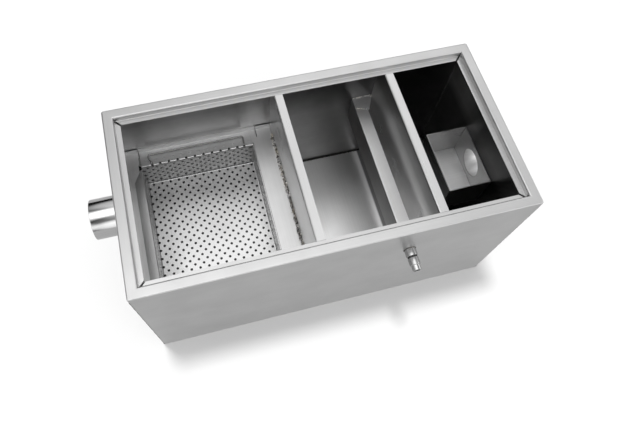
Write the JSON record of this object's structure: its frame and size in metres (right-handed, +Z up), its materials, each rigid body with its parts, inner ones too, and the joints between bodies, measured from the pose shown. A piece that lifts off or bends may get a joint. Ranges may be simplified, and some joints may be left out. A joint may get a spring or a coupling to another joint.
{
  "type": "grease trap",
  "caption": "Stainless steel under-sink grease trap without its lid: a box with partitions, a perforated strainer basket, an overflow box and pipe stubs.",
  "frame": {"origin": "middle of the tank's underside", "axes": "+X from the inlet to the outlet, +Y to the back wall, +Z up"},
  "size_m": [0.68, 0.3345, 0.3],
  "materials": {
    "brushed_sheet": "brushed stainless sheet",
    "perforated_sheet": "satin perforated sheet",
    "bright_steel": "polished stainless",
    "seal_rubber": "matt black"
  },
  "bodies": {
    "tank": {"front_wall": "brushed_sheet", "back_wall": "brushed_sheet", "left_wall": "brushed_sheet", "right_wall": "brushed_sheet", "base_plate": "brushed_sheet", "partition_1": "brushed_sheet", "partition_2": "brushed_sheet", "baffle": "brushed_sheet", "baffle_gusset": "brushed_sheet", "basket_shelf": "brushed_sheet", "basket": "perforated_sheet", "inlet_pipe": "bright_steel", "outlet_pipe": "bright_steel", "outlet_box_wrap": "brushed_sheet", "outlet_box_floor": "brushed_sheet", "outlet_box_back": "brushed_sheet", "grease_socket": "brushed_sheet"},
    "handle": {"basket_handle": "bright_steel"},
    "plug": {"grease_plug": "bright_steel", "plug_seal": "seal_rubber"}
  },
  "joints": [
    {"name": "handle_lift", "type": "hinge", "parent": "tank", "child": "handle", "pos_m": [-0.1702, 0.1186, 0.1635], "axis": [1, 0, 0], "range_deg": [0, 90]},
    {"name": "plug_turn", "type": "hinge", "parent": "tank", "child": "plug", "pos_m": [0.1085, -0.162, 0.2285], "axis": [0, -1, 0], "continuous": true}
  ]
}
